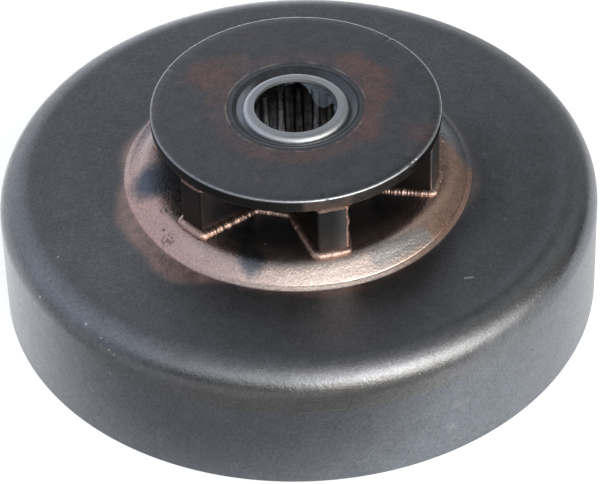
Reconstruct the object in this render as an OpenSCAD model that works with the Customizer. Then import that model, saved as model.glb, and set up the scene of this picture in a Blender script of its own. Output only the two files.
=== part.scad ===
// Clutch drum of a chain saw: a drawn steel cup with a brazed six-tooth sprocket, a flange disc
// over the teeth and a needle bearing pressed into the hub. It stands on the open rim of the cup,
// with the origin at the centre of the rim, +Z along the shaft and the first tooth on +X.
// All sizes are in millimetres.

/* [Cup] */
// Outside diameter of the drum cup
drum_d = 79; // [74:0.5:88]
// Height of the cup from its open rim to its flat face
drum_h = 18.5; // [15:0.25:26]
// Thickness of the cup's side wall
wall_t = 2; // [1.2:0.1:3]
// Thickness of the cup's face
face_t = 2; // [1.2:0.1:2.4]
// Outside radius where the side of the cup turns into its face
shoulder_r = 4.2; // [3.2:0.1:6]
// Bevel on both edges of the open rim
rim_bevel = 0.3; // [0.1:0.05:0.5]

/* [Raised boss] */
// Height of the pressed boss above the flat face
boss_h = 1.5; // [0.8:0.05:2]
// Radius of the boss's convex edge
boss_edge_r = 5.1; // [3:0.1:7]
// Flat ledge of the boss that is left outside the tooth tips
boss_ledge_w = 0.2; // [0:0.05:0.6]
// Radius of the concave bend at the foot of the boss
boss_foot_r = 1.3; // [0.5:0.1:2]

/* [Sprocket] */
// Number of teeth
tooth_count = 6; // [6:1:8]
// Height of the teeth between the boss and the flange disc
tooth_h = 7.55; // [5:0.05:10]
// Depth of the teeth from their tips to the gullet floor
tooth_depth = 8.3; // [6:0.1:9.5]
// Width of a tooth across its tip
tooth_tip_w = 3.7; // [2.5:0.1:4.2]
// Width of a tooth across its root
tooth_root_w = 6.1; // [4.5:0.1:6.6]
// Radius that breaks the long edges of a tooth tip
tip_round = 0.3; // [0.1:0.05:0.6]
// Radius in the corner between a tooth flank and the gullet floor
root_round = 1.3; // [1.1:0.05:1.8]
// Wall of the hub between the bearing and the spigot that the flange disc fits over
hub_wall = 1.85; // [1.4:0.05:2.5]
// Width of the ledge around the hub that the flange disc sits on
hub_ledge_w = 1.65; // [1:0.05:2.5]
// Wall of the lower spigot that passes through the face of the cup
spigot_wall = 2.5; // [1.5:0.05:3.5]
// Depth of the bearing's lower end inside the mouth of the lower spigot
bearing_inset = 0.3; // [0:0.05:0.6]
// Width of the lead-in bevel at the mouths of the bearing seat
lead_in_w = 1.05; // [0.4:0.05:1.2]
// Depth of the lead-in bevel at the mouths of the bearing seat
lead_in_h = 0.6; // [0.3:0.05:1]

/* [Flange disc] */
// Thickness of the flange disc
flange_t = 1.85; // [1.2:0.05:3]
// Distance by which the flange disc reaches past the tooth tips
flange_overhang = 0.15; // [0.1:0.05:1]
// Bevel on both edges of the flange disc's rim
flange_bevel = 0.3; // [0.1:0.05:0.5]

/* [Braze] */
// Width of the braze bead around the foot of the sprocket
bead_w = 0.9; // [0.5:0.05:1]
// Height of the braze bead around the foot of the sprocket
bead_h = 0.8; // [0.4:0.05:1.2]
// Width of the braze fillet under the flange disc
fillet_w = 0.45; // [0.3:0.05:0.7]
// Height of the braze fillet under the flange disc
fillet_h = 0.45; // [0.3:0.05:0.8]
// Radial gap that the braze fills between two brazed pieces
braze_gap = 0.03; // [0.02:0.01:0.06]

/* [Needle bearing] */
// Diameter of the shaft that runs in the bearing
shaft_d = 10; // [9:0.5:12]
// Length of the bearing
bearing_l = 12; // [11:0.5:14]
// Length by which the bearing stands out of the flange disc
bearing_proud = 0.1; // [0:0.05:0.3]
// Thickness of the drawn steel of the bearing shell
shell_t = 0.46; // [0.35:0.01:0.7]
// Outside radius at the two ends of the bearing shell
shell_corner_r = 0.8; // [0.75:0.05:1]
// Radial clearance between the lips of the shell and the shaft
lip_gap = 0.43; // [0.3:0.01:0.6]
// Number of needle rollers
roller_count = 14; // [8:1:14]
// Diameter of a needle roller
roller_d = 1.5; // [1.2:0.05:1.8]
// Radial play of the rollers in the shell
roller_play = 0.04; // [0.03:0.01:0.08]
// Clearance between a roller and its pocket in the cage
pocket_gap = 0.05; // [0.04:0.01:0.1]
// Thickness of the cage
cage_t = 0.8; // [0.6:0.05:1]
// Length of the solid ring at each end of the cage, past the pockets
cage_ring_l = 0.55; // [0.3:0.05:1.2]
// Gap between each end of the cage and the lip of the shell
cage_end_gap = 0.15; // [0.1:0.05:0.3]

/* [Hidden] */
NEEDLES = [for (i = [1 : roller_count]) str("needle_", i < 10 ? "0" : "", i)];

// Facets of a full circle, and segments of one rounded corner of the sprocket
round_fn = 96;
corner_steps = 5;
// Length by which a cutting shape runs past what it cuts
over = 1;

STEEL = [0.29, 0.30, 0.32];
DARK_STEEL = [0.20, 0.20, 0.21];
FLANGE_STEEL = [0.34, 0.34, 0.35];
COPPER = [0.80, 0.55, 0.42];
BRIGHT_STEEL = [0.66, 0.66, 0.67];
CAGE_STEEL = [0.45, 0.44, 0.42];

// Radii of the bearing, from the shaft outwards
shaft_r = shaft_d / 2;
roller_r = roller_d / 2;
roller_pitch_r = shaft_r + roller_r;
raceway_r = shaft_r + roller_d + roller_play;
bearing_r = raceway_r + shell_t;
lip_r = shaft_r + lip_gap;
cage_inner_r = roller_pitch_r - cage_t / 2;
// The inside corner of the shell's drawn ends follows the outside one
shell_inner_corner_r = max(shell_corner_r - shell_t, 0.1);

// Radii of the sprocket, the flange disc and the boss, from the bearing outwards
hub_r = bearing_r + hub_wall;
spigot_r = bearing_r + spigot_wall;
root_r = hub_r + hub_ledge_w;
tip_r = root_r + tooth_depth;
flange_r = tip_r + flange_overhang;
boss_top_r = tip_r + boss_ledge_w;
drum_r = drum_d / 2;

// Heights, from the rim upwards
boss_z = drum_h + boss_h;
teeth_top_z = boss_z + tooth_h;
flange_top_z = teeth_top_z + flange_t;
bearing_top_z = flange_top_z + bearing_proud;
bearing_z = bearing_top_z - bearing_l;
spigot_z = bearing_z - bearing_inset;
cage_z = bearing_z + shell_t + cage_end_gap;
cage_l = bearing_l - 2 * (shell_t + cage_end_gap);
roller_l = cage_l - 2 * (cage_ring_l + pocket_gap);
roller_z = cage_z + cage_ring_l + pocket_gap;

// The boss's side is two arcs that touch: a convex one from the flat top, whose centre is edge_centre,
// and a concave one down to the flat face, whose centre is foot_centre
edge_centre = [boss_top_r, boss_z - boss_edge_r];
foot_rise = drum_h + boss_foot_r - edge_centre.y;
foot_centre = edge_centre + [sqrt(pow(boss_edge_r + boss_foot_r, 2) - pow(foot_rise, 2)), foot_rise];

// Half the angle between two teeth, and the direction of a tooth flank
half_pitch = 180 / tooth_count;
tip_corner = [tip_r, tooth_tip_w / 2];
root_corner = [root_r, tooth_root_w / 2];
flank_dir = unit(tip_corner - root_corner);
flank_normal = [-flank_dir.y, flank_dir.x];
gullet_normal = [cos(half_pitch), sin(half_pitch)];

function unit(v) = v / norm(v);
function turn(p, a) = [p.x * cos(a) - p.y * sin(a), p.x * sin(a) + p.y * cos(a)];
function flip(p) = [p.x, -p.y];

// Where the flank meets the tip and the gullet floor, with every face moved outwards by d
function tip_point(d) =
    let (p = tip_corner + d * flank_normal)
    p + flank_dir * (tip_r + d - p.x) / flank_dir.x;
function root_point(d) =
    let (p = tip_corner + d * flank_normal)
    p + flank_dir * (root_r + d - p * gullet_normal) / (flank_dir * gullet_normal);

// The four corners of one tooth as [point, radius], then those of every tooth in turn
function tooth_corners(d) = [
    [flip(root_point(d)), root_round - d],
    [flip(tip_point(d)), tip_round + d],
    [tip_point(d), tip_round + d],
    [root_point(d), root_round - d]
];
function corners(d) = [
    for (i = [0 : tooth_count - 1])
        for (c = tooth_corners(d))
            [turn(c[0], i * 2 * half_pitch), c[1]]
];

// Points of the arc that rounds corner p, between its neighbours before and after it
function corner_arc(before, p, after, r) =
    let (
        a = unit(before - p),
        b = unit(after - p),
        half = acos(a * b) / 2,
        centre = p + unit(a + b) * r / sin(half),
        from = unit(p + a * r / tan(half) - centre),
        to = unit(p + b * r / tan(half) - centre),
        sweep = 180 - 2 * half,
        side = from.x * to.y - from.y * to.x > 0 ? 1 : -1
    )
    [for (k = [0 : corner_steps]) centre + r * turn(from, side * sweep * k / corner_steps)];

// Outline of the sprocket in plan, moved outwards by d
function outline(d) =
    let (c = corners(d), n = len(c))
    [
        for (i = [0 : n - 1])
            each corner_arc(c[(i + n - 1) % n][0], c[i][0], c[(i + 1) % n][0], c[i][1])
    ];

// Solid between the sprocket's side and a profile of [distance out, height] that runs around it
module outline_sweep(profile) {
    rings = [for (p = profile) [for (q = outline(p[0])) [q.x, q.y, p[1]]]];
    n = len(rings[0]);
    m = len(rings);
    points = [for (r = rings) each r];
    faces = [
        for (j = [0 : m - 1])
            for (i = [0 : n - 1])
                [j * n + i, j * n + (i + 1) % n, ((j + 1) % m) * n + (i + 1) % n, ((j + 1) % m) * n + i]
    ];
    polyhedron(points, faces, convexity = 10);
}

// Half section of the cup, filled from the axis, moved inwards by side_in and face_in
module cup_section(side_in, face_in) {
    r = drum_r - side_in;
    bend = max(shoulder_r - side_in, rim_bevel);
    top = drum_h - face_in;
    square([r, top - bend]);
    square([r - bend, top]);
    translate([r - bend, top - bend])
        circle(r = bend, $fn = round_fn);
    boss_section(face_in);
}

// Half section of the boss, filled from the axis and moved inwards by face_in
module boss_section(face_in) {
    touch = edge_centre + unit(foot_centre - edge_centre) * (boss_edge_r - face_in);
    square([boss_top_r, boss_z - face_in]);
    intersection() {
        square([touch.x, boss_z - face_in]);
        translate(edge_centre)
            circle(r = boss_edge_r - face_in, $fn = round_fn);
    }
    difference() {
        square([foot_centre.x, touch.y]);
        translate(foot_centre)
            circle(r = boss_foot_r + face_in, $fn = round_fn);
    }
}

// Bevels on the two edges of the rim
module rim_bevel_section() {
    translate([drum_r, 0])
        rotate(45)
            square(rim_bevel * sqrt(2), center = true);
    translate([drum_r - wall_t, 0])
        rotate(45)
            square(rim_bevel * sqrt(2), center = true);
}

module clutch_cup() {
    color(STEEL)
        difference() {
            rotate_extrude($fn = round_fn)
                difference() {
                    cup_section(0, 0);
                    cup_section(wall_t, face_t);
                    rim_bevel_section();
                }
            translate([0, 0, drum_h - face_t - over])
                cylinder(r = spigot_r + braze_gap, h = face_t + boss_h + 2 * over, $fn = round_fn);
        }
}

// Bore of the bearing seat, with its lead-in bevels at both mouths
module bearing_seat() {
    bottom = spigot_z;
    top = flange_top_z;
    wide_r = bearing_r + lead_in_w;
    rotate_extrude($fn = round_fn)
        polygon([
            [0, bottom - over],
            [wide_r, bottom - over],
            [wide_r, bottom],
            [bearing_r, bottom + lead_in_h],
            [bearing_r, top - lead_in_h],
            [wide_r, top],
            [wide_r, top + over],
            [0, top + over]
        ]);
}

module sprocket() {
    color(DARK_STEEL)
        difference() {
            union() {
                translate([0, 0, boss_z])
                    linear_extrude(tooth_h)
                        polygon(outline(0));
                translate([0, 0, spigot_z])
                    cylinder(r = spigot_r, h = boss_z - spigot_z, $fn = round_fn);
                translate([0, 0, teeth_top_z])
                    cylinder(r = hub_r, h = flange_t, $fn = round_fn);
            }
            bearing_seat();
        }
}

// Section of the flange disc, with both edges of the rim bevelled
module flange_section() {
    hole_r = hub_r + braze_gap;
    b = flange_bevel;
    polygon([
        [hole_r, 0],
        [flange_r - b, 0],
        [flange_r, b],
        [flange_r, flange_t - b],
        [flange_r - b, flange_t],
        [hole_r, flange_t]
    ]);
}

module flange_disc() {
    color(FLANGE_STEEL)
        translate([0, 0, teeth_top_z])
            rotate_extrude($fn = round_fn)
                flange_section();
}

module lower_braze_bead() {
    z = boss_z;
    color(COPPER)
        outline_sweep([
            [0, z],
            [bead_w, z],
            [bead_w * 0.85, z + bead_h * 0.45],
            [bead_w * 0.45, z + bead_h * 0.85],
            [0, z + bead_h]
        ]);
}

module upper_braze_fillets() {
    z = teeth_top_z;
    color(COPPER)
        intersection() {
            outline_sweep([
                [0, z - fillet_h],
                [fillet_w * 0.35, z - fillet_h * 0.4],
                [fillet_w, z],
                [0, z]
            ]);
            translate([0, 0, z - fillet_h - over])
                cylinder(r = flange_r - flange_bevel, h = fillet_h + 2 * over, $fn = round_fn);
        }
}

// Section of the bearing shell: two lips and rounded ends
module shell_section() {
    difference() {
        rounded_tube_section(bearing_r, bearing_l, shell_corner_r);
        translate([0, shell_t])
            rounded_tube_section(raceway_r, bearing_l - 2 * shell_t, shell_inner_corner_r);
        translate([0, -over])
            square([lip_r, bearing_l + 2 * over]);
    }
}

// Filled half section of a cylinder of radius r and length l whose ends are rounded to corner
module rounded_tube_section(r, l, corner) {
    translate([0, corner])
        square([r, l - 2 * corner]);
    square([r - corner, l]);
    for (z = [corner, l - corner])
        translate([r - corner, z])
            circle(r = corner, $fn = round_fn);
}

module bearing_shell() {
    color(BRIGHT_STEEL)
        translate([0, 0, bearing_z])
            rotate_extrude($fn = round_fn)
                shell_section();
}

// Places its child at the centre line of roller i, at the height of the rollers' lower ends
module at_roller(i) {
    rotate(i * 360 / roller_count)
        translate([roller_pitch_r, 0, roller_z])
            children();
}

module needle_cage() {
    color(CAGE_STEEL)
        difference() {
            translate([0, 0, cage_z])
                rotate_extrude($fn = round_fn)
                    translate([cage_inner_r, 0])
                        square([cage_t, cage_l]);
            for (i = [0 : roller_count - 1])
                at_roller(i)
                    translate([0, 0, -pocket_gap])
                        cylinder(r = roller_r + pocket_gap, h = roller_l + 2 * pocket_gap, $fn = round_fn);
        }
}

module needle(i) {
    color(BRIGHT_STEEL)
        at_roller(i)
            cylinder(r = roller_r, h = roller_l, $fn = round_fn);
}

clutch_cup();
sprocket();
flange_disc();
lower_braze_bead();
upper_braze_fillets();
bearing_shell();
needle_cage();
for (i = [0 : roller_count - 1])
    needle(i);
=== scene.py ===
"""Looks of a chain saw's clutch drum: a drawn steel cup, a brazed sprocket, a flange disc and a bearing.

Lengths are millimetres and are turned into metres where a mesh is made. Azimuths are degrees about the
shaft, from the first tooth on +X.
"""

import math

import bpy
from mathutils import Matrix, Vector, noise


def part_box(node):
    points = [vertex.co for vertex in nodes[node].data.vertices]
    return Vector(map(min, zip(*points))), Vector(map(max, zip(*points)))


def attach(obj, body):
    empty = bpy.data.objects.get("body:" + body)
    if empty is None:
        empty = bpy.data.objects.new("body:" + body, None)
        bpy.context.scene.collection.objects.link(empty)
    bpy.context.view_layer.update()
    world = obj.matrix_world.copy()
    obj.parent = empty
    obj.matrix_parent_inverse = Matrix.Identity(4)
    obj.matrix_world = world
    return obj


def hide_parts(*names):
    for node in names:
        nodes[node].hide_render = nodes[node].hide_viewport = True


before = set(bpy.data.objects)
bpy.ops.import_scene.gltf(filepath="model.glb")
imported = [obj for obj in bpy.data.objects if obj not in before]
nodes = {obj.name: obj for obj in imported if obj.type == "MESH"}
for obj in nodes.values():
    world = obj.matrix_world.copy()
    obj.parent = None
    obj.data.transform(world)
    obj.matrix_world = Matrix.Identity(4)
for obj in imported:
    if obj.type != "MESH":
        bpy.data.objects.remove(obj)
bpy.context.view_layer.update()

MM = 0.001


def node_size(node):
    """Outside radius, lowest and highest height of a turned CAD node, in millimetres."""
    low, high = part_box(node)
    return high.x / MM, low.z / MM, high.z / MM


# Cup
DRUM_R, _, BOSS_Z = node_size("clutch_cup")
BOSS_H = 1.5
DRUM_H = BOSS_Z - BOSS_H
WALL_T = 2.0
FACE_T = 2.0
SHOULDER_R = 4.2
RIM_BEVEL = 0.3

# Boss: its slope in degrees at each radius and the fine groove at its foot, clearest near one azimuth
BOSS_SLOPES = [(18.5, 0), (19.5, 10), (20.3, 24), (21.1, 35), (22.2, 39)]
BOSS_STEP = 0.1
GROOVE_DEPTH = 0.06
GROOVE_AZIMUTH = -22
GROOVE_HALF = 45
GROOVE_R = BOSS_SLOPES[-1][0] + 0.105
GROOVE_HALF_W = 0.05
# Points past the end of the slope, under the groove: further out, and higher
LEDGE = [(0.15, -0.12), (0.1, -0.08), (0.05, -0.04)]
# The boss's foot; the face around it is slightly dished, so the foot lies below the face's outer edge
BOSS_FOOT_R = 22.95
FOOT_Z = DRUM_H - 0.62
# Soft bend from the face into the foot: further out, and higher
FOOT_BEND = [(0.2, 0), (0, 0.01), (-0.12, 0.07)]
BOSS_INNER_TOP_R = 19.2
BOSS_INNER_FOOT_R = 21.9
# A flat place in the boss's round: azimuth, half width in degrees, depth
BOSS_FLAT = (-136, 24, 0.35)
# A stretch where the slope begins nearer the shaft and ends lower: azimuth, half width in degrees, depth
BOSS_DEEPER = (-43, 30, 0.36)

# Flange disc
FLANGE_R, FLANGE_BOTTOM, FLANGE_TOP = node_size("flange_disc")
FLANGE_EDGE_R = 0.3

# Sprocket and hub
TOOTH_COUNT = 6
TIP_R = 18.8
ROOT_R = 10.5
TOOTH_TIP_W = 3.7
TOOTH_ROOT_W = 6.1
TIP_ROUND = 0.3
ROOT_ROUND = 1.3
HUB_R = 8.85
SPIGOT_R = 9.5
BRAZE_GAP = 0.03

# Braze
BEAD_W = 0.64
BEAD_H = 0.56
BEAD_RIPPLE = 0.42
BEAD_STEP = 0.07
# Where the lower bead is thicker: azimuth, half width in degrees, share
BEAD_THICKER = [(-62, 7, 0.4), (-72, 5, 0.35), (-117, 12, 0.35)]
# Ripple along the lower bead: its depth as a share, and the azimuth near which it is clearest
ROPE_DEPTH = 0.05
ROPE_AZIMUTH = -28
ROPE_HALF = 32
# Fine unevenness of the lower bead, as a share
BEAD_GRAIN = 0.07
FILLET_W = 0.45
FILLET_H = 0.45
FILLET_STEP = 0.16

# The photograph: its frame, the turn from its azimuths to the part's, and the camera that took it
IMAGE_W = 600
PHOTO_TURN = 17.2
RIGHTWARD = 0
BACKWARD = 90
CAMERA_BACK = 351.2
CAMERA_UP = 317.3
CAMERA_PITCH = 41.568
CAMERA_ROLL = -1.822
FOCAL_PX = 3501
SENSOR_W = 36.0


# Geometry


def spread(start, end, steps):
    """Evenly spaced values from start to end, both included."""
    return [start + (end - start) * k / steps for k in range(steps + 1)]


def arc(centre, radius, start, end, steps):
    """Points of an arc in the plane of radius and height, between two angles in degrees."""
    angles = [math.radians(a) for a in spread(start, end, steps)]
    return [(centre[0] + radius * math.cos(a), centre[1] + radius * math.sin(a)) for a in angles]


def line(start, end, steps):
    """Points between two points, without either of them."""
    shares = [k / steps for k in range(1, steps)]
    return [(start[0] + (end[0] - start[0]) * s, start[1] + (end[1] - start[1]) * s) for s in shares]


def smooth_mesh(name, vertices, faces, sharp_degrees=35):
    """Object of a smooth-shaded mesh in millimetres, whose edges past an angle stay sharp."""
    mesh = bpy.data.meshes.new(name)
    mesh.from_pydata([(x * MM, y * MM, z * MM) for x, y, z in vertices], [], faces)
    mesh.shade_smooth()
    mesh.set_sharp_from_angle(angle=math.radians(sharp_degrees))
    piece = bpy.data.objects.new(name, mesh)
    bpy.context.scene.collection.objects.link(piece)
    return piece


def closed_sweep(rings):
    """Vertices and faces of a closed ring of closed sections."""
    count, size = len(rings), len(rings[0])
    vertices = [point for ring in rings for point in ring]
    faces = []
    for i in range(count):
        a, b = i * size, (i + 1) % count * size
        for k in range(size):
            m = (k + 1) % size
            faces.append((a + k, b + k, b + m, a + m))
    return vertices, faces


def lathe(name, profile, segments, shift=None):
    """Turned piece with a closed profile of (radius, height); shift moves each point by its azimuth."""
    rings = []
    for i in range(segments):
        angle = 2 * math.pi * i / segments
        cos_a, sin_a = math.cos(angle), math.sin(angle)
        section = [shift(r, z, angle) if shift else (r, z) for r, z in profile]
        rings.append([(r * cos_a, r * sin_a, z) for r, z in section])
    return smooth_mesh(name, *closed_sweep(rings))


def ripple(x, y, z, size, seed=0.0):
    """Smooth noise from -1 to 1 whose bumps are about size across."""
    return noise.noise(Vector((x / size + seed, y / size, z / size)))


# Outline of the sprocket


def unit(vector):
    return vector.normalized()


def rounded_corner(before, corner, after, radius, step):
    """Points of the arc that rounds a corner between its two neighbours."""
    a, b = unit(before - corner), unit(after - corner)
    half = a.angle(b) / 2
    centre = corner + unit(a + b) * radius / math.sin(half)
    start = corner + a * radius / math.tan(half) - centre
    end = corner + b * radius / math.tan(half) - centre
    turn = start.angle_signed(end)
    steps = max(3, round(abs(turn) * radius / step))
    return [centre + Matrix.Rotation(-turn * k / steps, 2) @ start for k in range(steps + 1)]


def sprocket_outline(step):
    """Points of the sprocket's outline about step apart, each with its outward direction."""
    half_pitch = math.pi / TOOTH_COUNT
    tip = Vector((TIP_R, TOOTH_TIP_W / 2))
    flank = unit(tip - Vector((ROOT_R, TOOTH_ROOT_W / 2)))
    gullet = Vector((math.cos(half_pitch), math.sin(half_pitch)))
    root = tip + flank * (ROOT_R - tip @ gullet) / (flank @ gullet)
    tooth = [
        (Vector((root.x, -root.y)), ROOT_ROUND),
        (Vector((tip.x, -tip.y)), TIP_ROUND),
        (tip, TIP_ROUND),
        (root, ROOT_ROUND),
    ]
    corners = [
        (Matrix.Rotation(2 * half_pitch * i, 2) @ point, radius)
        for i in range(TOOTH_COUNT)
        for point, radius in tooth
    ]
    points = []
    for i, (corner, radius) in enumerate(corners):
        before, after = corners[i - 1][0], corners[(i + 1) % len(corners)][0]
        bend = rounded_corner(before, corner, after, radius, step)
        if points:
            gap = bend[0] - points[-1]
            steps = max(1, round(gap.length / step))
            points += [points[-1] + gap * k / steps for k in range(1, steps)]
        points += bend
    gap = points[0] - points[-1]
    steps = max(1, round(gap.length / step))
    points += [points[-1] + gap * k / steps for k in range(1, steps)]
    outline = []
    for i, point in enumerate(points):
        along = unit(points[(i + 1) % len(points)] - points[i - 1])
        outline.append((point, Vector((along.y, -along.x))))
    return outline


# Pieces


def boss_slope():
    """Points of the boss's outer slope, from its flat top out to the groove."""
    points = []
    z = BOSS_Z
    for (r0, low), (r1, high) in zip(BOSS_SLOPES, BOSS_SLOPES[1:]):
        steps = round((r1 - r0) / BOSS_STEP)
        for k in range(steps):
            points.append((r0 + (r1 - r0) * k / steps, z))
            slope = low + (high - low) * (k + 0.5) / steps
            z -= (r1 - r0) / steps * math.tan(math.radians(slope))
    return points + [(BOSS_SLOPES[-1][0], z)]


def hollow_slope(r0, z0, r1, z1, steps):
    """Smooth slope between two flat stretches."""
    shares = spread(0, 1, steps)
    return [(r0 + (r1 - r0) * s, z0 + (z1 - z0) * s * s * (3 - 2 * s)) for s in shares]


def cup_profile():
    """Section of the drawn cup, from the rim up the outside, over the boss and back down the inside."""
    shoulder = (DRUM_R - SHOULDER_R, DRUM_H - SHOULDER_R)
    inner_r = DRUM_R - WALL_T
    hole_r = SPIGOT_R + BRAZE_GAP
    under_z = BOSS_Z - FACE_T
    slope = boss_slope()
    slope_r, slope_z = slope[-1]
    bend = [(BOSS_FOOT_R + r, FOOT_Z + z) for r, z in FOOT_BEND]
    ledge = [(slope_r + r, slope_z + z) for r, z in LEDGE]
    outside = [(DRUM_R - RIM_BEVEL, 0), (DRUM_R, RIM_BEVEL)]
    outside += line((DRUM_R, RIM_BEVEL), (DRUM_R, shoulder[1]), 8)
    outside += arc(shoulder, SHOULDER_R, 0, 90, 24)
    outside += line((shoulder[0], DRUM_H), bend[0], 16) + bend
    outside += line(bend[-1], ledge[0], 4) + ledge
    outside += slope[::-1]
    outside += line(slope[0], (hole_r, BOSS_Z), 5)
    inside = [(hole_r, BOSS_Z), (hole_r, under_z)]
    inside += line((hole_r, under_z), (BOSS_INNER_TOP_R, under_z), 3)
    inside += hollow_slope(BOSS_INNER_TOP_R, under_z, BOSS_INNER_FOOT_R, DRUM_H - FACE_T, 12)
    inside += line((BOSS_INNER_FOOT_R, DRUM_H - FACE_T), (shoulder[0], DRUM_H - FACE_T), 4)
    inside += arc(shoulder, SHOULDER_R - WALL_T, 90, 0, 12)
    inside += line((inner_r, shoulder[1]), (inner_r, RIM_BEVEL), 4)
    inside += [(inner_r, RIM_BEVEL), (inner_r + RIM_BEVEL, 0)]
    return outside + inside


def degrees_from(angle, azimuth):
    """Angle from an azimuth in degrees to an angle in radians, from -180 to 180 degrees."""
    return (math.degrees(angle) - azimuth + 180) % 360 - 180


def hump(angle, azimuth, half_width):
    """1 at an azimuth in degrees, falling off smoothly about half_width away from it."""
    return math.exp(-((degrees_from(angle, azimuth) / half_width) ** 2))


def ramp(value, low, high):
    """How far a value has come from low to high, from 0 to 1."""
    return min(1, max(0, (value - low) / (high - low)))


def cup_shift(r, z, angle):
    """Slight unevenness of the drawn cup, which fades out towards the sprocket and the rim."""
    x, y = r * math.cos(angle), r * math.sin(angle)
    fade = ramp(r, 20, 23) * ramp(z, 0, 3)
    wave = 0.02 * ripple(x, y, z, 7) + 0.008 * ripple(x, y, z, 2.2, 5)
    azimuth, half_width, depth = BOSS_FLAT
    flat = depth * hump(angle, azimuth, half_width) * ramp(r, 19.5, 21.5) * ramp(r, 27, 24)
    azimuth, half_width, depth = BOSS_DEEPER
    below_crest = ramp(r, 18.9, 21.3)
    below_crest *= below_crest * (3 - 2 * below_crest) * ramp(r, 29, 23)
    sunk = depth * hump(angle, azimuth, half_width) * below_crest
    from_groove = abs(r - GROOVE_R) / GROOVE_HALF_W
    groove = GROOVE_DEPTH * max(0, 1 - from_groove) if z > FOOT_Z else 0
    groove *= hump(angle, GROOVE_AZIMUTH, GROOVE_HALF)
    return r + wave * fade * min(1, r / DRUM_R) - flat, z + 0.7 * wave * fade - groove - sunk


def make_cup():
    """The drawn cup, with its boss and the hole that the sprocket's spigot fills."""
    return lathe("drum_cup", cup_profile(), 640, cup_shift)


# Nicks in the upper edge of the flange disc: azimuth, half width in degrees, depth
FLANGE_NICKS = [(-62.6, 0.9, 0.16), (-22.3, 1.1, 0.2), (-20.2, 0.6, 0.12), (64, 0.8, 0.12), (170, 0.7, 0.1)]


def flange_profile():
    """Section of the flange disc, with both edges of its rim rounded."""
    hole_r = HUB_R + BRAZE_GAP
    e = FLANGE_EDGE_R
    rim_x = FLANGE_R - e
    profile = [(hole_r, FLANGE_BOTTOM)]
    profile += line((hole_r, FLANGE_BOTTOM), (rim_x, FLANGE_BOTTOM), 6)
    profile += arc((rim_x, FLANGE_BOTTOM + e), e, 270, 360, 6)
    profile += line((FLANGE_R, FLANGE_BOTTOM + e), (FLANGE_R, FLANGE_TOP - e), 5)
    profile += arc((rim_x, FLANGE_TOP - e), e, 0, 90, 6)
    profile += line((rim_x, FLANGE_TOP), (hole_r, FLANGE_TOP), 8)
    profile += [(hole_r, FLANGE_TOP)]
    return profile


def flange_shift(r, z, angle):
    """Wear and nicks along the rim of the flange disc."""
    x, y = r * math.cos(angle), r * math.sin(angle)
    near_rim = ramp(r, FLANGE_R - 1.2, FLANGE_R)
    near_top = ramp(z, FLANGE_TOP - 0.6, FLANGE_TOP)
    depth = (0.012 + 0.012 * ripple(x, y, z, 1.3)) * near_rim
    for azimuth, half_width, deep in FLANGE_NICKS:
        depth += deep * hump(angle, azimuth, half_width) * near_rim * near_top
    return r - depth, z - 0.5 * depth * near_top


def make_flange():
    """The flange disc over the teeth, with a worn rim."""
    return lathe("worn_flange_disc", flange_profile(), 720, flange_shift)


# Round section of a bead, as shares of its width and height from the corner that it fills
BEAD_SECTION = [(-0.08, 0), (1, 0), (0.97, 0.28), (0.84, 0.56), (0.6, 0.8), (0.3, 0.95), (0, 1), (-0.08, 1)]


def bead_section(point, outward, width, height, base, up):
    """Rounded section of a bead that leans on the sprocket, from the face that it lies on."""
    section = []
    for x, z in BEAD_SECTION:
        p = point + outward * (x * width)
        section.append((p.x, p.y, base + up * z * height))
    return section if up > 0 else section[::-1]


def make_lower_bead():
    """Bead around the foot of the sprocket, rippled like a rope."""
    rings = []
    for i, (point, outward) in enumerate(sprocket_outline(BEAD_STEP)):
        x, y = point
        phase = i * BEAD_STEP / BEAD_RIPPLE + 1.1 * ripple(x, y, 0, 1.3, 5)
        angle = math.atan2(y, x)
        rope = (0.25 + 0.75 * hump(angle, ROPE_AZIMUTH, ROPE_HALF)) * math.cos(2 * math.pi * phase)
        rope *= 0.7 + 0.6 * ripple(x, y, 0, 0.9, 17)
        swell = 0.2 * ripple(x, y, 0, 2.6, 3) + 0.12 * ripple(x, y, 0, 0.8, 13)
        for azimuth, half_width, more in BEAD_THICKER:
            swell += more * hump(angle, azimuth, half_width)
        swell += 1 + ROPE_DEPTH * rope
        width = BEAD_W * (swell + BEAD_GRAIN * ripple(x, y, 0, 0.33, 19))
        height = BEAD_H * (swell + BEAD_GRAIN * ripple(x, y, 0, 0.33, 23))
        rings.append(bead_section(point, outward, width, height, BOSS_Z - 0.01, 1))
    return smooth_mesh("braze_bead", *closed_sweep(rings), sharp_degrees=80)


# The tooth edge that a run of copper follows up to the flange disc: azimuth, radius, half width, depth
RUN_AZIMUTH = -53.9
RUN_R = 18.45
RUN_W = 0.27
RUN_T = 0.3


def copper_run():
    """Rings of the run of copper up the edge of one tooth, from the bead to the flange disc."""
    rings = []
    a = math.radians(RUN_AZIMUTH)
    low, high = BOSS_Z + 0.1, FLANGE_BOTTOM - 0.02
    for z in spread(low, high, 70):
        along = a + 0.012 * ripple(0, 0, z, 1.7, 41)
        flare = 1 + 0.6 * math.exp(-(high - z) / 0.5) + 0.5 * math.exp(-(z - low) / 0.5)
        swell = flare * (1 + 0.3 * ripple(0, 0, z, 0.9, 43) + 0.12 * ripple(0, 0, z, 0.35, 47))
        ring = []
        for k in range(10):
            t = 2 * math.pi * k / 10
            r = RUN_R + RUN_T * swell * math.cos(t)
            s = along + RUN_W * swell * math.sin(t) / RUN_R
            ring.append((r * math.cos(s), r * math.sin(s), z))
        rings.append(ring)
    return rings


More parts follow.
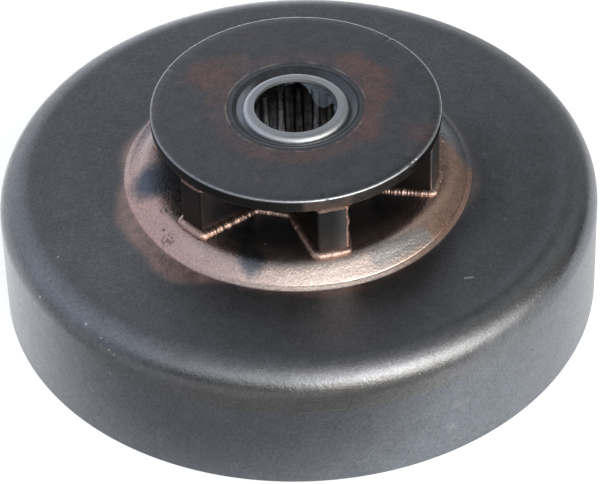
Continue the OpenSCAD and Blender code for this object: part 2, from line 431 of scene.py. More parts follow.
def capped_sweep(rings, first):
    """Faces of a closed tube with flat ends, whose vertices start at number first."""
    size = len(rings[0])
    faces = [tuple(first + k for k in reversed(range(size)))]
    for i in range(len(rings) - 1):
        a, b = first + i * size, first + (i + 1) * size
        faces += [(a + k, a + (k + 1) % size, b + (k + 1) % size, b + k) for k in range(size)]
    last = first + (len(rings) - 1) * size
    faces.append(tuple(last + k for k in range(size)))
    return faces


def make_upper_fillets():
    """Thin uneven fillet under the flange disc, inside the disc's rim, with the run of copper below it."""
    rings = []
    for point, outward in sprocket_outline(FILLET_STEP):
        x, y = point
        room = FLANGE_R - FLANGE_EDGE_R - 0.05 - point.length
        swell = 1 + 0.35 * ripple(x, y, 0, 1.7, 31) + 0.2 * ripple(x, y, 0, 0.5, 37)
        width = FILLET_W * swell * max(0.02, ramp(room, 0, 0.8))
        height = FILLET_H * swell
        rings.append(bead_section(point, outward, width, height, FLANGE_BOTTOM + 0.01, -1))
    vertices, faces = closed_sweep(rings)
    run = copper_run()
    faces += capped_sweep(run, len(vertices))
    vertices += [point for ring in run for point in ring]
    return smooth_mesh("braze_fillets", vertices, faces, sharp_degrees=80)


# Materials


class Graph:
    """A material or the world in the making; each method adds nodes and gives a socket to go on from."""

    def __init__(self, owner):
        self.owner = owner
        owner.use_nodes = True
        self.tree = owner.node_tree
        self.tree.nodes.clear()

    def node(self, kind, inputs, **settings):
        made = self.tree.nodes.new("ShaderNode" + kind)
        for key, value in settings.items():
            setattr(made, key, value)
        for key, value in inputs.items():
            self.plug(made.inputs[key], value)
        return made

    def plug(self, socket, value):
        if isinstance(value, bpy.types.NodeSocket):
            self.tree.links.new(value, socket)
        elif socket.type == "RGBA":
            socket.default_value = (*value, 1.0)
        else:
            socket.default_value = value

    def math(self, operation, *values):
        return self.node("Math", dict(enumerate(values)), operation=operation).outputs[0]

    def fold(self, operation, values):
        total = values[0]
        for value in values[1:]:
            total = self.math(operation, total, value)
        return total

    def add(self, *values):
        return self.fold("ADD", values)

    def times(self, *values):
        return self.fold("MULTIPLY", values)

    def most(self, *values):
        return self.fold("MAXIMUM", values)

    def less(self, value, amount):
        return self.math("SUBTRACT", value, amount)

    def vector(self, operation, *values):
        made = self.node("VectorMath", dict(enumerate(values)), operation=operation)
        scalar = operation in ("LENGTH", "DISTANCE", "DOT_PRODUCT")
        return made.outputs["Value" if scalar else "Vector"]

    def scale(self, vector, factor):
        """A vector or colour times a number."""
        return self.node("VectorMath", {0: vector, 3: factor}, operation="SCALE").outputs["Vector"]

    def place(self):
        """Position on the piece, in millimetres of the part's frame."""
        return self.scale(self.node("TexCoord", {}).outputs["Object"], 1 / MM)

    def polar(self, place):
        """Distance from the shaft, azimuth in degrees and height of a place."""
        x, y, z = self.node("SeparateXYZ", {0: place}).outputs
        radius = self.math("SQRT", self.add(self.times(x, x), self.times(y, y)))
        azimuth = self.times(self.math("ARCTAN2", y, x), math.degrees(1))
        return radius, azimuth, z

    def noise(self, place, size, detail=2.0, roughness=0.5, stretch=None):
        """Noise around 0.5 whose bumps are about size millimetres across, times stretch."""
        if stretch:
            place = self.vector("DIVIDE", place, stretch)
        inputs = {"Vector": place, "Scale": 1 / size, "Detail": detail, "Roughness": roughness}
        return self.node("TexNoise", inputs).outputs["Fac"]

    def drift(self, place, size, amount, detail=2.0, stretch=None):
        """Noise around zero that stays mostly within amount."""
        return self.times(self.less(self.noise(place, size, detail, 0.6, stretch), 0.5), 3 * amount)

    def span(self, value, low, high, to_low=0.0, to_high=1.0):
        """Smooth step of a value between low and high."""
        inputs = {"Value": value, "From Min": low, "From Max": high, "To Min": to_low, "To Max": to_high}
        return self.node("MapRange", inputs, interpolation_type="SMOOTHSTEP").outputs[0]

    def between(self, value, low, high, soft):
        """1 where a value lies between low and high, with soft ends."""
        rise = self.span(value, low - soft, low + soft)
        return self.times(rise, self.span(value, high + soft, high - soft))

    def along(self, place, azimuth):
        """How far a place lies along a level direction, given by its azimuth in the photograph."""
        return self.vector("DOT_PRODUCT", place, photo_axis(azimuth))

    def turn(self, azimuth, middle):
        """Angle from the middle to an azimuth, in degrees from -180 to 180."""
        return self.math("WRAP", self.less(azimuth, middle), 180.0, -180.0)

    def bell(self, azimuth, middle, half_width):
        """A smooth hump along the azimuth, 1 at its middle and 0 at half_width away."""
        return self.span(self.math("ABSOLUTE", self.turn(azimuth, middle)), half_width, 0.0)

    def spot(self, place, centre, radius, wobble, soft=0.3):
        """A patch around a point, whose edge wanders by the wobble socket."""
        away = self.add(self.vector("DISTANCE", place, centre), wobble)
        return self.span(away, radius * (1 + soft), radius * (1 - soft))

    def streak(self, place, start, end, width, wobble=0.0, soft=0.5):
        """A patch of some width around the line between two points."""
        a, b = Vector(start), Vector(end)
        along = b - a
        from_a = self.vector("SUBTRACT", place, tuple(a))
        share = self.times(self.vector("DOT_PRODUCT", from_a, tuple(along)), 1 / along.length_squared)
        nearest = self.scale(tuple(along), self.node("Clamp", {"Value": share}).outputs[0])
        away = self.add(self.vector("DISTANCE", from_a, nearest), wobble)
        return self.span(away, width * (1 + soft), width * (1 - soft))

    def specks(self, place, size, share, reach):
        """Small round specks, in a share of cells that measure size, each reach times size in radius."""
        cell = self.node("TexVoronoi", {"Vector": place, "Scale": 1 / size})
        near = self.span(cell.outputs["Distance"], reach, reach * 0.5)
        pick = self.node("SeparateColor", {0: cell.outputs["Color"]}).outputs[0]
        return self.times(near, self.math("LESS_THAN", pick, share))

    def mix(self, share, a, b):
        """Colour between a and b."""
        made = self.tree.nodes.new("ShaderNodeMix")
        made.data_type = "RGBA"
        for key, value in {"Factor": share, "A": a, "B": b}.items():
            self.plug(next(s for s in made.inputs if s.name == key and s.enabled), value)
        return next(s for s in made.outputs if s.enabled)

    def metal(self, colour, roughness, height=None):
        """Ends the material as bare metal; height is its relief in millimetres."""
        inputs = {"Base Color": colour, "Metallic": 1.0, "Roughness": roughness}
        shader = self.node("BsdfPrincipled", inputs)
        if height is not None:
            bump = self.node("Bump", {"Height": height, "Distance": MM})
            self.plug(shader.inputs["Normal"], bump.outputs["Normal"])
        self.node("OutputMaterial", {"Surface": shader.outputs[0]})
        return self.owner


def new_material(name):
    return Graph(bpy.data.materials.new(name))


def photo_axis(azimuth):
    """Level direction at an azimuth of the photograph, whose camera is at -90."""
    a = math.radians(azimuth + PHOTO_TURN)
    return (math.cos(a), math.sin(a), 0)


STEEL = (0.256, 0.274, 0.306)
FACE_STEEL = (0.268, 0.270, 0.280)
BROWNED_STEEL = (0.262, 0.252, 0.240)
COPPER_PINK = (0.70, 0.465, 0.40)
COPPER_PALE = (0.43, 0.355, 0.355)
# Pale warm copper; on the boss's front it is partly painted highlight, its brightness standing in for the
# light there.
COPPER_WARM_AND_HIGHLIGHT = (0.95, 0.79, 0.71)
COPPER_BROWN = (0.70, 0.45, 0.355)
STAIN_PINK = (0.74, 0.515, 0.465)
STAIN_BROWN = (0.38, 0.30, 0.265)
HEAT_BLUE = (0.22, 0.245, 0.28)
DEEP_BLUE = (0.125, 0.14, 0.17)
PALE_BLUE = (0.31, 0.32, 0.345)
# Grey of soot, partly painted shade near the sprocket.
SOOT_AND_SHADE = (0.245, 0.258, 0.275)
RUBBED = (0.62, 0.60, 0.59)
SCUFF = (0.62, 0.64, 0.67)
PIT = (0.03, 0.03, 0.03)
FLANGE_RED = (0.50, 0.30, 0.265)
RIM_LEFT_SHADED = (0.055, 0.055, 0.053)
RIM_FRONT_LIT = (0.15, 0.14, 0.135)
RIM_RIGHT_SHADED = (0.05, 0.05, 0.05)
RIM_COPPER = (0.31, 0.225, 0.19)
FLANK_BROWN = (0.06, 0.055, 0.053)
FLANK_GREY = (0.055, 0.055, 0.058)
FLANK_RIGHT_SHADED = (0.026, 0.025, 0.025)
LAND_LEFT_SHADED = (0.042, 0.04, 0.04)
LAND_FRONT = (0.066, 0.066, 0.068)
LAND_RIGHT_LIT = (0.23, 0.235, 0.245)
HUB_OUTER = (0.115, 0.12, 0.13)
HUB_INNER = (0.225, 0.232, 0.245)
HUB_LIT = (0.62, 0.65, 0.72)
HUB_HIGHLIGHT_LINE = (0.75, 0.74, 0.72)
BRAZE_DULL = (0.44, 0.30, 0.25)
BRAZE_BRIGHT = (0.68, 0.48, 0.41)
LIP_STEEL = (0.67, 0.69, 0.71)
SHELL_INSIDE_SHADE = (0.10, 0.105, 0.115)
CAGE_DARK = (0.02, 0.02, 0.022)
CAGE_LIGHT = (0.075, 0.077, 0.082)
ROLLER_DARK = (0.05, 0.051, 0.055)
ROLLER_LIGHT = (0.235, 0.235, 0.25)
FILM_AND_REFLECTION = (0.30, 0.35, 0.41)


def on_wall(azimuth, height):
    """Point of the cup's wall at an azimuth and a height."""
    a = math.radians(azimuth)
    return (DRUM_R * math.cos(a), DRUM_R * math.sin(a), height)


# Pale scratches on the wall: azimuth and height of both ends, and half the width
WALL_SCRATCHES = [
    ((-73.8, 12.5), (-65.6, 12.6), 0.10),
    ((-63.6, 2.8), (-61.4, 3.3), 0.09),
    ((-61.6, 3.4), (-60.6, 4.4), 0.07),
    ((-61.9, 2.9), (-60.8, 1.5), 0.08),
    ((-51.2, 12.2), (-49.6, 12.5), 0.10),
    ((-45.6, 13.3), (-43.9, 13.5), 0.09),
    ((-117.4, 7.8), (-116.1, 7.0), 0.09),
    ((-58.4, 2.2), (-54.6, 1.2), 0.06),
]

# White scuffs on the wall: azimuth, height, radius of the patch
WALL_SCUFFS = [
    (-43.6, 8.4, 0.75),
    (-42.2, 6.9, 0.6),
    (-44.8, 4.9, 0.8),
    (-43.9, 2.2, 0.9),
    (-40.9, 8.0, 0.5),
]

# Dark nicks in the wall and the shoulder: azimuth, height, radius of the patch
WALL_NICKS = [
    (-24.8, 9.9, 0.42),
    (-27.9, 9.2, 0.5),
    (-28.4, 10.1, 0.35),
    (-39.8, 8.3, 0.4),
    (-22.9, 12.1, 0.3),
]

# Bright specks on the shoulder and the face: point, radius
BRIGHT_SPECKS = [
    ((-18.12, -33.86, 17.11), 0.2),
    ((-15.62, -35.44, 16.71), 0.12),
    ((-14.27, -36.48, 15.9), 0.14),
    ((-13.49, -36.9, 15.62), 0.12),
    ((-25.08, -24.17, 18.5), 0.13),
    ((-25.92, -29.36, 15.95), 0.16),
    ((-14.25, -36.84, 12.25), 0.12),
    ((0.45, -16.67, 20.0), 0.12),
    ((18.07, -9.13, 19.9), 0.12),
]

# How far the brown stain reaches over the face beyond the boss: azimuth, half width in degrees, reach
STAIN_LOBES = [
    (-177, 15, 1.0),
    (-150, 15, 1.3),
    (-138, 14, 2.0),
    (-125, 16, 2.0),
    (-112, 16, 3.2),
    (-58, 40, 1.3),
    (8, 18, 0.9),
]


def cup_steel():
    """Dark steel of the cup, its copper-coated boss with the stain around it, and the wear of both; with
    painted shade on the face, a painted sheen at the back, and copper partly painted as highlight and
    shade.
    """
    g = new_material("drum_steel")
    place = g.place()
    flat = g.vector("MULTIPLY", place, (1, 1, 0))
    radius, azimuth, height = g.polar(place)
    grain = g.noise(place, 0.28, 2.0, 0.6)
    fine = g.drift(place, 0.5, 1.0, 3.0)
    medium = g.drift(place, 1.4, 1.0, 3.0)
    wander = g.drift(place, 2.6, 1.0, 4.0)
    broad = g.drift(place, 13.0, 1.0, 2.0)
    speckle = g.times(g.less(grain, 0.5), 3.0)
    mottling = g.add(g.times(broad, 0.09), g.times(wander, 0.11), g.times(fine, 0.14))
    tone = g.add(1.0, mottling, g.times(speckle, 0.3))

    brown = g.times(g.between(height, 12.3, 16.5, 0.8), g.bell(azimuth, -70.0, 75.0))
    steel = g.mix(g.span(height, 15.0, DRUM_H - 0.2), STEEL, FACE_STEEL)
    steel = g.scale(g.mix(g.times(brown, 0.8), steel, BROWNED_STEEL), tone)
    # Painted shade: the face is darkened around azimuth 3, from the rim in towards the boss.
    to_boss = g.add(g.span(radius, 36.0, 32.5, 0.0, 0.32), g.span(radius, 29.0, 24.0, 0.0, 0.18))
    painted_face_shade = g.times(g.bell(azimuth, 3.0, 68.0), to_boss)
    # Painted sheen: the top of the shoulder and the face are lightened a little at the back.
    at_back = g.bell(azimuth, 137.0, 60.0)
    painted_back_sheen = g.times(at_back, g.span(height, DRUM_H - 1.0, DRUM_H - 0.1, 0.0, 0.12))
    steel = g.scale(steel, g.add(1.0, painted_back_sheen, g.times(painted_face_shade, -1.0)))
    ragged = g.span(g.add(fine, medium), -0.3, 0.5)
    rough = g.times(speckle, 0.05)
    scuffs = [g.spot(place, on_wall(a, z), r, g.times(wander, 0.5), 0.6) for a, z, r in WALL_SCUFFS]
    lines = [g.streak(place, on_wall(*a), on_wall(*b), w, rough) for a, b, w in WALL_SCRATCHES]
    dots = [g.spot(place, point, r, rough) for point, r in BRIGHT_SPECKS]
    face_scratch = g.streak(place, (26.3, -14.8, DRUM_H - 0.25), (27.3, -14.4, DRUM_H - 0.25), 0.12)
    boss_scratch = g.streak(place, (17.4, 8.8, BOSS_Z), (18.3, 8.4, BOSS_Z), 0.12)
    rubbed = g.span(g.noise(place, 1.0, 4.0, 0.7, (7, 7, 0.35)), 0.6, 0.78)
    marks = g.most(*dots, face_scratch, boss_scratch)
    bright = g.most(
        marks,
        g.times(g.most(*scuffs), ragged, 0.22),
        g.times(g.most(*lines), 0.22),
        g.times(rubbed, 0.14),
        g.times(g.specks(place, 1.5, 0.05, 0.085), 0.7),
    )
    nicks = [g.spot(place, on_wall(a, z), r, g.times(wander, 0.35), 0.5) for a, z, r in WALL_NICKS]
    nicked = g.times(g.most(*nicks), g.span(fine, 0.0, 0.5))
    steel = g.mix(g.times(nicked, 0.75), g.mix(bright, steel, SCUFF), PIT)

    lobes = [g.times(g.bell(azimuth, middle, half), reach) for middle, half, reach in STAIN_LOBES]
    edge = g.add(BOSS_FOOT_R - 0.1, *lobes)
    on_top = g.span(height, FOOT_Z - 0.8, FOOT_Z - 0.5)
    past = g.less(g.add(radius, g.times(wander, 0.5), g.times(fine, 0.12)), edge)
    past = g.add(past, g.times(speckle, 0.35))
    stained = g.times(g.span(past, 1.0, -1.1), on_top, g.span(medium, -0.9, 0.5, 0.6, 1.0))
    rightward = g.along(place, RIGHTWARD)
    stain = g.mix(g.span(rightward, -8.0, 12.0), STAIN_PINK, STAIN_BROWN)
    stain = g.scale(stain, g.add(tone, g.times(medium, 0.08)))

    # Partly painted highlight: the pale bright copper covers the boss's front, where the highlight falls.
    copper = g.mix(g.span(rightward, -20.0, 2.0), COPPER_PINK, COPPER_WARM_AND_HIGHLIGHT)
    copper = g.mix(g.span(rightward, 8.0, 19.0), copper, COPPER_BROWN)
    to_back_left = g.times(g.span(g.along(place, BACKWARD), -6.0, 10.0), g.span(rightward, 0.0, -15.0))
    copper = g.mix(to_back_left, copper, COPPER_PALE)
    copper = g.scale(copper, g.add(1.0, g.times(speckle, 0.32), g.times(medium, 0.1)))
    near = g.add(g.times(wander, 0.5), g.times(medium, 0.3), g.times(speckle, 0.35))
    blue = g.most(
        g.spot(flat, (-17.0, -8.2, 0), 3.1, near, 0.4),
        g.times(g.streak(flat, (-2.2, -15.8, 0), (-0.2, -20.2, 0), 1.5, near, 0.5), 0.9),
        g.streak(flat, (16.5, 14.5, 0), (22.6, 9.6, 0), 3.4, near, 0.3),
    )
    blued = g.mix(g.span(rightward, -14.0, -8.0), DEEP_BLUE, HEAT_BLUE)
    blued = g.mix(g.span(rightward, 12.0, 16.0), blued, PALE_BLUE)
    boss = g.mix(blue, copper, g.scale(blued, g.add(1.0, g.times(fine, 0.1))))
    bare = g.streak(flat, (15.0, -14.6, 0), (19.4, -8.9, 0), 1.1, near, 0.6)
    boss = g.mix(g.times(bare, 0.8), boss, g.scale(RUBBED, tone))
    # Dark grey near the sprocket: soot, and painted shade under the flange disc and between the teeth.
    boss = g.mix(g.span(g.add(radius, g.times(wander, 0.4)), 20.0, 15.5, 0.0, 0.93), boss, SOOT_AND_SHADE)
    pits = g.most(
        g.spot(flat, (-13.9, -13.7, 0), 0.75, g.times(wander, 0.4)),
        g.spot(flat, (-12.2, -17.7, 0), 0.85, g.times(wander, 0.45)),
        g.spot(flat, (-13.3, -16.3, 0), 0.3, g.times(wander, 0.2)),
    )
    pitted = g.times(pits, g.span(fine, -0.2, 0.3))
    boss = g.mix(g.times(pitted, 0.6), boss, PIT)
    boss = g.mix(marks, boss, SCUFF)
    on_boss = g.times(g.span(radius, BOSS_FOOT_R + 0.05, BOSS_FOOT_R - 0.15), on_top)
    colour = g.mix(on_boss, g.mix(stained, steel, stain), boss)

    on_face = g.times(g.span(height, DRUM_H - 1.6, DRUM_H - 0.2), g.less(1.0, on_boss))
    boss_front = g.times(on_boss, g.bell(azimuth, -58.0, 65.0))
    roughness = g.add(0.27, g.times(medium, 0.05), g.times(boss_front, 0.06), g.times(on_face, 0.15))
    roughness = g.add(roughness, g.times(bright, 0.1))
    relief = g.add(
        g.times(grain, g.add(0.027, g.times(on_boss, 0.011))),
        g.times(medium, 0.009),
        g.times(fine, 0.006),
        g.times(marks, 0.03),
        g.times(nicked, -0.02),
        g.times(pitted, -0.04),
    )
    return g.metal(colour, roughness, relief)


# Scratches on top of the flange disc: both ends, and half the width
DISC_SCRATCHES = [
    ((11.2, 4.6), (12.6, 4.2), 0.07),
    ((10.4, 0.6), (12.2, 1.6), 0.06),
    ((-16.6, 0.6), (-15.2, 1.4), 0.06),
    ((14.8, 6.6), (15.8, 5.8), 0.06),
    ((8.8, 12.8), (10.6, 12.6), 0.06),
]


def flange_steel():
    """Dark steel of the flange disc, with rusty patches around the hub, a rubbed upper edge with a painted
    highlight, and an oily rim with painted light and shade.
    """
    g = new_material("flange_disc_steel")
    place = g.place()
    radius, azimuth, height = g.polar(place)
    grain = g.noise(place, 0.25, 2.0, 0.6)
    speckle = g.times(g.less(grain, 0.5), 3.0)
    fine = g.drift(place, 0.5, 1.0, 3.0)
    medium = g.drift(place, 1.3, 1.0, 4.0)
    wander = g.drift(place, 2.4, 1.0, 4.0)
    tone = g.add(1.0, g.times(wander, 0.12), g.times(fine, 0.12), g.times(speckle, 0.16))
    top = FLANGE_TOP
    ring = g.between(g.add(radius, g.times(wander, 0.6)), 9.0, 11.4, 0.8)
    ring = g.times(ring, g.add(0.35, g.times(g.bell(azimuth, -75.0, 80.0), 0.5)))
    patches = g.most(
        g.spot(place, (-12.2, 3.4, top), 3.3, wander, 0.5),
        g.times(g.streak(place, (-9.6, 7.0, top), (-10.2, -1.5, top), 1.5, wander, 0.5), 0.65),
        g.streak(place, (4.6, 10.4, top), (8.6, 8.0, top), 2.1, wander, 0.5),
        g.times(g.streak(place, (8.8, 5.6, top), (10.0, -2.8, top), 2.1, wander, 0.5), 0.95),
        ring,
        g.times(g.spot(place, (17.2, -1.0, top), 2.2, wander, 0.5), 0.6),
    )
    patches = g.times(patches, g.span(g.add(medium, g.times(fine, 0.5)), -0.9, 0.7, 0.4, 1.0))
    rusty = g.times(g.span(medium, 0.1, 0.9), 0.3)
    red = g.times(g.most(patches, rusty), 0.9)
    colour = g.mix(red, g.scale(FACE_STEEL, tone), g.scale(FLANGE_RED, tone))
    brown_arc = g.times(g.between(radius, 9.0, 9.25, 0.08), g.span(wander, -0.2, 0.4))
    colour = g.mix(g.times(brown_arc, 0.5), colour, COPPER_WARM_AND_HIGHLIGHT)
    rightward = g.along(place, RIGHTWARD)
    # Painted light and shade on the dark rim: lighter at the front, darker to the left and right.
    rim = g.mix(g.span(rightward, -4.0, 12.0), RIM_LEFT_SHADED, RIM_FRONT_LIT)
    rim = g.mix(g.span(rightward, 13.5, 16.0), rim, RIM_RIGHT_SHADED)
    rim = g.scale(rim, g.add(tone, g.times(medium, 0.12)))
    copper_there = g.times(g.between(azimuth, -71.0, -52.0, 1.5), g.span(wander, -0.7, 0.5, 0.25, 0.85))
    rim = g.mix(copper_there, rim, RIM_COPPER)
    colour = g.mix(g.span(height, top - 0.2, top - 0.32), colour, rim)
    scratches = [g.streak(place, (*a, top), (*b, top), w) for a, b, w in DISC_SCRATCHES]
    # Pale line along the upper edge: rubbed metal, and a painted highlight that is made stronger to the
    # right.
    upper_edge = g.span(height, top - 0.32, top - 0.14)
    edge_wear_and_highlight = g.times(g.span(radius, FLANGE_R - 0.45, FLANGE_R - 0.2), upper_edge)
    wear_and_painted_highlight = g.times(g.span(fine, -0.8, 0.3, 0.4, 0.9), g.span(rightward, -16.0, 0.0, 0.25, 1.0))
    bright = g.most(
        g.times(g.most(*scratches), 0.4),
        g.times(g.specks(place, 1.1, 0.06, 0.09), 0.5),
        g.times(edge_wear_and_highlight, wear_and_painted_highlight),
    )
    colour = g.mix(bright, colour, SCUFF)
    relief = g.add(g.times(grain, 0.014), g.times(medium, 0.003), g.times(fine, 0.003))
    return g.metal(colour, g.add(0.29, g.times(medium, 0.05)), relief)


def sprocket_steel():
    """Dark oily teeth with painted light and shade on their sides, and the bare upper end of the hub around
    the bearing with painted highlights.
    """
    g = new_material("sprocket_dark_steel")
    place = g.place()
    radius, azimuth, height = g.polar(place)
    fine = g.drift(place, 0.4, 1.0, 3.0)
    medium = g.drift(place, 1.5, 1.0, 3.0)
    tone = g.add(1.0, g.times(medium, 0.12), g.times(fine, 0.12))
    rightward = g.along(place, RIGHTWARD)
    # Painted shade and light by side: the flanks darker to the right, the tip lands darker to the left and
    # much lighter to the right.
    flank = g.mix(g.span(medium, -0.5, 0.5), FLANK_BROWN, FLANK_GREY)
    flank = g.mix(g.span(rightward, 0.0, 3.0), flank, FLANK_RIGHT_SHADED)
    land = g.mix(g.span(rightward, -8.0, 4.0), LAND_LEFT_SHADED, LAND_FRONT)
    land = g.mix(g.span(rightward, 4.0, 7.0), land, LAND_RIGHT_LIT)
    tooth = g.mix(g.span(radius, TIP_R - 0.25, TIP_R - 0.1), flank, land)
    hub = g.mix(g.span(radius, 8.35, 8.25), HUB_INNER, HUB_OUTER)
    # Painted highlights on the hub: a pale bluish band on the chamfer to the left, and a thin bright arc
    # towards the front.
    lit = g.times(g.between(radius, 7.0, 7.7, 0.1), g.bell(azimuth, -168.0, 50.0))
    hub = g.mix(lit, hub, HUB_LIT)
    highlight_arc = g.times(g.between(radius, 8.3, 8.42, 0.05), g.bell(azimuth, -62.0, 70.0))
    hub = g.mix(highlight_arc, hub, HUB_HIGHLIGHT_LINE)
    colour = g.scale(g.mix(g.span(height, FLANGE_TOP - 1.0, FLANGE_TOP - 0.8), tooth, hub), tone)
    return g.metal(colour, g.add(0.34, g.times(medium, 0.06)), g.times(fine, 0.004))


def braze_copper():
    """Grainy copper of the bead and the fillets."""
    g = new_material("bright_braze")
    place = g.place()
    medium = g.drift(place, 0.9, 1.0, 3.0)
    grain = g.noise(place, 0.24, 2.0, 0.6)
    tone = g.add(1.0, g.times(medium, 0.15), g.times(g.less(grain, 0.5), 1.3))
    colour = g.mix(g.noise(place, 2.5, 2.0), BRAZE_DULL, BRAZE_BRIGHT)
    relief = g.add(g.times(medium, 0.004), g.times(grain, 0.05))
    return g.metal(g.scale(colour, tone), g.add(0.34, g.times(medium, 0.06)), relief)


def bearing_steel():
    """Satin steel of the bearing's shell, darkened inside the bore as painted shade."""
    g = new_material("bearing_satin_steel")
    place = g.place()
    _, _, height = g.polar(place)
    fine = g.drift(place, 0.25, 1.0, 3.0)
    medium = g.drift(place, 0.9, 1.0, 3.0)
    tone = g.add(1.0, g.times(medium, 0.05), g.times(fine, 0.08))
    # Painted shade: the shell is dark below the lip, inside the bore.
    inside = g.span(height, FLANGE_TOP - 0.7, FLANGE_TOP - 1.0)
    colour = g.scale(g.mix(inside, LIP_STEEL, SHELL_INSIDE_SHADE), tone)
    return g.metal(colour, g.add(0.44, g.times(medium, 0.04)), g.times(fine, 0.003))


# Film of old grease in the bore: its greatest depth below the lip, and how much less it reaches at its end
FILM_DEPTH = 3.3
FILM_SHORTER = 2.1


def bore_steel(name, dark, light):
    """Oily steel inside the bearing, with streaks along the shaft, painted shade at two azimuths, and a
    film of old grease near the lip whose pale blue is partly a painted reflection.
    """
    g = new_material(name)
    place = g.place()
    _, azimuth, height = g.polar(place)
    streaks = g.drift(place, 0.3, 1.0, 3.0, (1, 1, 8))
    fine = g.drift(place, 0.35, 1.0, 3.0)
    blotch = g.drift(place, 1.6, 1.0, 4.0)
    shade = g.add(g.times(streaks, 0.6), g.times(fine, 0.5), g.times(blotch, 0.7))
    colour = g.mix(g.span(shade, -0.5, 0.9), dark, light)
    # Painted shade: the bore is darkened around azimuths 104 and 54.
    colour = g.scale(colour, g.less(1.0, g.times(g.bell(azimuth, 104.0, 26.0), 0.75)))
    colour = g.scale(colour, g.less(1.0, g.times(g.bell(azimuth, 54.0, 44.0), 0.72)))
    deeper = g.span(azimuth, 102.0, 68.0, 0.0, -FILM_DEPTH)
    depth = g.add(deeper, g.span(azimuth, 68.0, 42.0, 0.0, FILM_SHORTER))
    low_edge = g.add(FLANGE_TOP - 0.5, depth, g.times(blotch, 0.6), g.times(fine, 0.3))
    low_edge = g.add(low_edge, g.span(azimuth, 5.0, -5.0, 0.0, 4.0))
    above = g.span(height, low_edge, g.add(low_edge, 0.15))
    film_and_reflection = g.times(above, g.span(g.add(blotch, fine), -1.2, 0.2, 0.6, 1.0))
    # The grease film's pale blue colour is partly a painted reflection.
    colour = g.mix(film_and_reflection, colour, FILM_AND_REFLECTION)
    roughness = g.add(0.3, g.times(blotch, 0.08), g.times(film_and_reflection, 0.35))
    return g.metal(colour, roughness, g.add(g.times(fine, 0.006), g.times(film_and_reflection, 0.03)))


# Stage


class Studio(Graph):
    """The studio's surroundings, as soft panels in the world."""

    def __init__(self):
        super().__init__(bpy.data.worlds.new("studio"))
        direction = self.node("TexCoord", {}).outputs["Generated"]
        x, y, z = self.node("SeparateXYZ", {0: direction}).outputs
        self.azimuth = self.times(self.math("ARCTAN2", y, x), math.degrees(1))
        self.elevation = self.times(self.math("ARCSINE", z), math.degrees(1))

    def panel(self, azimuth, elevation, half_width, half_height, colour):
        """Light of a soft-edged panel; the azimuth is the photograph's, whose camera is at -90."""
        across = self.times(self.turn(self.azimuth, azimuth + PHOTO_TURN), 1 / half_width)
        up = self.times(self.less(self.elevation, elevation), 1 / half_height)
        away = self.add(self.times(across, across), self.times(up, up))
        glow = self.math("EXPONENT", self.times(self.math("POWER", away, 1.5), -1.0))
        return self.scale(colour, glow)


# Light from everywhere, and soft panels: azimuth, elevation, half width, half height, colour
AMBIENT = (0.04, 0.04, 0.04)
PANELS = [
    (-41, 18, 38, 22, (2.30, 2.22, 2.06)),
    (-66, 27, 26, 18, (1.65, 1.62, 1.56)),
    (-81, 45, 64, 29, (1.02, 1.02, 1.04)),
    (-60, 57, 26, 13, (0.30, 0.29, 0.27)),
    (161, 33, 63, 48, (0.51, 0.56, 0.655)),
    (97, 4, 36, 22, (0.92, 0.95, 1.00)),
    (38, 59, 20, 43, (0.38, 0.40, 0.40)),
]


def make_world():
    """Studio light in the world, with a white backdrop for the camera."""
    g = Studio()
    light = AMBIENT
    for panel in PANELS:
        light = g.vector("ADD", light, g.panel(*panel))
    seen = g.node("LightPath", {}).outputs["Is Camera Ray"]
    shown = g.mix(seen, light, (1, 1, 1))
    background = g.node("Background", {"Color": shown, "Strength": 1.0})
    g.node("OutputWorld", {"Surface": background.outputs[0]})
    bpy.context.scene.world = g.owner


def make_camera():
    """The camera of the photograph."""
    data = bpy.data.cameras.new("photo_camera")
    data.sensor_width = SENSOR_W
    data.lens = FOCAL_PX / IMAGE_W * SENSOR_W
    data.clip_start = 0.01
    data.clip_end = 20
    camera = bpy.data.objects.new("photo_camera", data)
    turn = Matrix.Rotation(math.radians(PHOTO_TURN), 4, "Z")
    place = Matrix.Translation((0, -CAMERA_BACK * MM, CAMERA_UP * MM))
    pitch = Matrix.Rotation(math.radians(90 - CAMERA_PITCH), 4, "X")
    roll = Matrix.Rotation(math.radians(CAMERA_ROLL), 4, "Z")
    camera.matrix_world = turn @ place @ pitch @ roll
    bpy.context.scene.collection.objects.link(camera)
    bpy.context.scene.camera = camera


# The floor: its half width, its colour, and how much brighter the camera sees it
FLOOR_HALF = 3000
FLOOR_GREY = 0.8
FLOOR_SEEN = 0.66
# The floor as metal mirrors it: the share of its colour that is kept, its glow near the cup and further
# off, the radius from which the near glow fades and how far it reaches, and a glow of all the far floor
FLOOR_MIRRORED = 0.42
FLOOR_NEAR = 0.44
FLOOR_FAR = 0.32
FLOOR_EDGE = 42.0
FLOOR_REACH = 28.0
FLOOR_ALL = 0.22
# The direction in which the studio is darker, and where the glow fades out along it
FLOOR_DIM_AZIMUTH = -112
FLOOR_DIM_FROM = 26.0
FLOOR_DIM_TO = 50.0
# The bright sweep behind the cup: its glow, its sides, their softness, and where it rises towards the back
SWEEP = 1.4
SWEEP_LEFT = -50.0
SWEEP_RIGHT = 20.0
SWEEP_SOFT = 14.0
SWEEP_FROM = -20.0
SWEEP_TO = 50.0


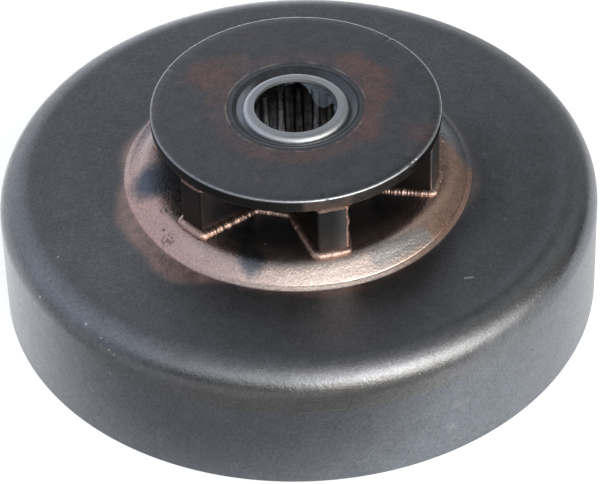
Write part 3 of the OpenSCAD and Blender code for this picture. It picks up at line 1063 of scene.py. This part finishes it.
def floor_material():
    """Pale floor that keeps the shadow, glows softly in the metal, and is clear from below."""
    g = new_material("pale_floor")
    place = g.place()
    radius, _, _ = g.polar(place)
    seen = g.node("LightPath", {}).outputs
    mirrored = g.most(seen["Is Glossy Ray"], seen["Is Transmission Ray"])
    kept = g.span(g.along(place, FLOOR_DIM_AZIMUTH), FLOOR_DIM_TO, FLOOR_DIM_FROM)
    past_edge = g.less(g.most(radius, FLOOR_EDGE), FLOOR_EDGE)
    near = g.math("EXPONENT", g.times(past_edge, -1 / FLOOR_REACH))
    floor = g.times(kept, g.add(FLOOR_FAR, g.times(near, FLOOR_NEAR)))
    far = g.times(g.less(1.0, near), FLOOR_ALL)
    aside = g.between(g.along(place, RIGHTWARD), SWEEP_LEFT, SWEEP_RIGHT, SWEEP_SOFT)
    sweep = g.times(aside, g.span(g.along(place, BACKWARD), SWEEP_FROM, SWEEP_TO), SWEEP)
    mirror = g.add(floor, far, sweep)
    lift = g.add(g.times(seen["Is Camera Ray"], FLOOR_SEEN), g.times(mirrored, mirror))
    grey = g.times(FLOOR_GREY, g.less(1.0, g.times(mirrored, 1 - FLOOR_MIRRORED)))
    diffuse = g.node("BsdfDiffuse", {"Color": grey})
    glow = g.node("Emission", {"Color": (1, 1, 1), "Strength": lift})
    both = g.node("AddShader", {0: diffuse.outputs[0], 1: glow.outputs[0]})
    clear = g.node("BsdfTransparent", {})
    below = g.node("NewGeometry", {}).outputs["Backfacing"]
    shown = g.node("MixShader", {0: below, 1: both.outputs[0], 2: clear.outputs[0]})
    g.node("OutputMaterial", {"Surface": shown.outputs[0]})
    return g.owner


def make_floor():
    """A level floor under the rim of the cup."""
    half = FLOOR_HALF
    corners = [(-half, -half, 0), (half, -half, 0), (half, half, 0), (-half, half, 0)]
    floor = smooth_mesh("floor", corners, [(0, 1, 2, 3)])
    floor.data.materials.append(floor_material())


def dress(piece, material):
    """Gives a piece its material."""
    piece.data.materials.clear()
    piece.data.materials.append(material)


make_camera()
make_world()
make_floor()

braze = braze_copper()
replacements = [
    (make_cup(), "clutch_cup", cup_steel(), "cup_steel"),
    (make_flange(), "flange_disc", flange_steel(), "flange_steel"),
    (make_lower_bead(), "lower_braze_bead", braze, "braze_copper"),
    (make_upper_fillets(), "upper_braze_fillets", braze, "braze_copper"),
]
for piece, node, material, slot in replacements:
    dress(piece, material)
    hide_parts(node)
    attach(piece, "drum")

dress(nodes["sprocket"], sprocket_steel())
dress(nodes["bearing_shell"], bearing_steel())
cage = bore_steel("cage_oily_steel", CAGE_DARK, CAGE_LIGHT)
roller = bore_steel("roller_oily_steel", ROLLER_DARK, ROLLER_LIGHT)
dress(nodes["needle_cage"], cage)
for name, piece in nodes.items():
    if name.startswith("needle_") and name != "needle_cage":
        dress(piece, roller)

bpy.context.scene.view_settings.view_transform = "Standard"
